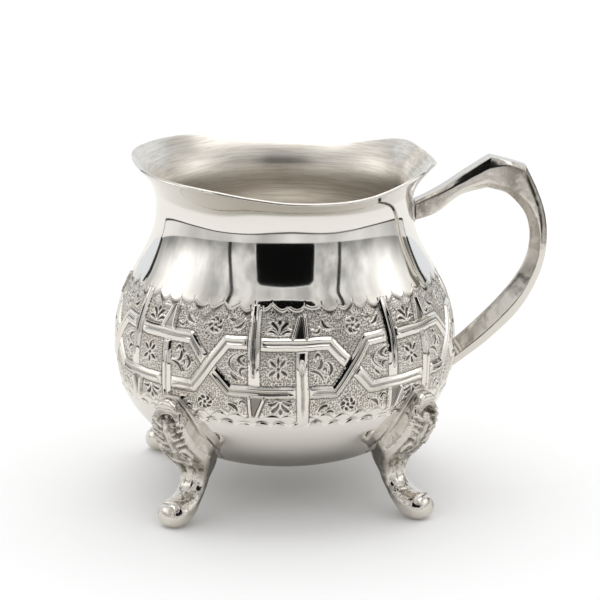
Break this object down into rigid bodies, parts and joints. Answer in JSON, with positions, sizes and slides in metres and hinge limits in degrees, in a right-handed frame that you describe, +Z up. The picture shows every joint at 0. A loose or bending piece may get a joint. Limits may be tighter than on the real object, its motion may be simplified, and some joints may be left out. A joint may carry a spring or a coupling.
{
  "type": "cream jug",
  "caption": "Small round-bellied silver cream jug with a wide lip, a loop handle, a band of relief strapwork and cast feet with turned-out toes.",
  "frame": {"origin": "on the surface that the jug stands on, under the middle of its overall box", "axes": "+X towards the handle, so the spout points to -X; +Z up out of the mouth; +Y completes the right-handed frame"},
  "size_m": [0.115, 0.09, 0.0911],
  "materials": {
    "body_silver": "mirror polished outside, matted ground in the relief band, brushed inside",
    "handle_silver": "cast and polished, with soft file marks",
    "foot_silver": "cast relief, polished toes",
    "solder_silver": "satin solder fillet"
  },
  "bodies": {
    "root": {"body_shell": "body_silver", "handle": "handle_silver", "foot_handle_left": "foot_silver", "foot_handle_right": "foot_silver", "foot_spout_left": "foot_silver", "foot_spout_right": "foot_silver", "solder_handle_upper": "solder_silver", "solder_handle_lower": "solder_silver", "solder_foot_handle_left": "solder_silver", "solder_foot_handle_right": "solder_silver", "solder_foot_spout_left": "solder_silver", "solder_foot_spout_right": "solder_silver"}
  },
  "joints": []
}
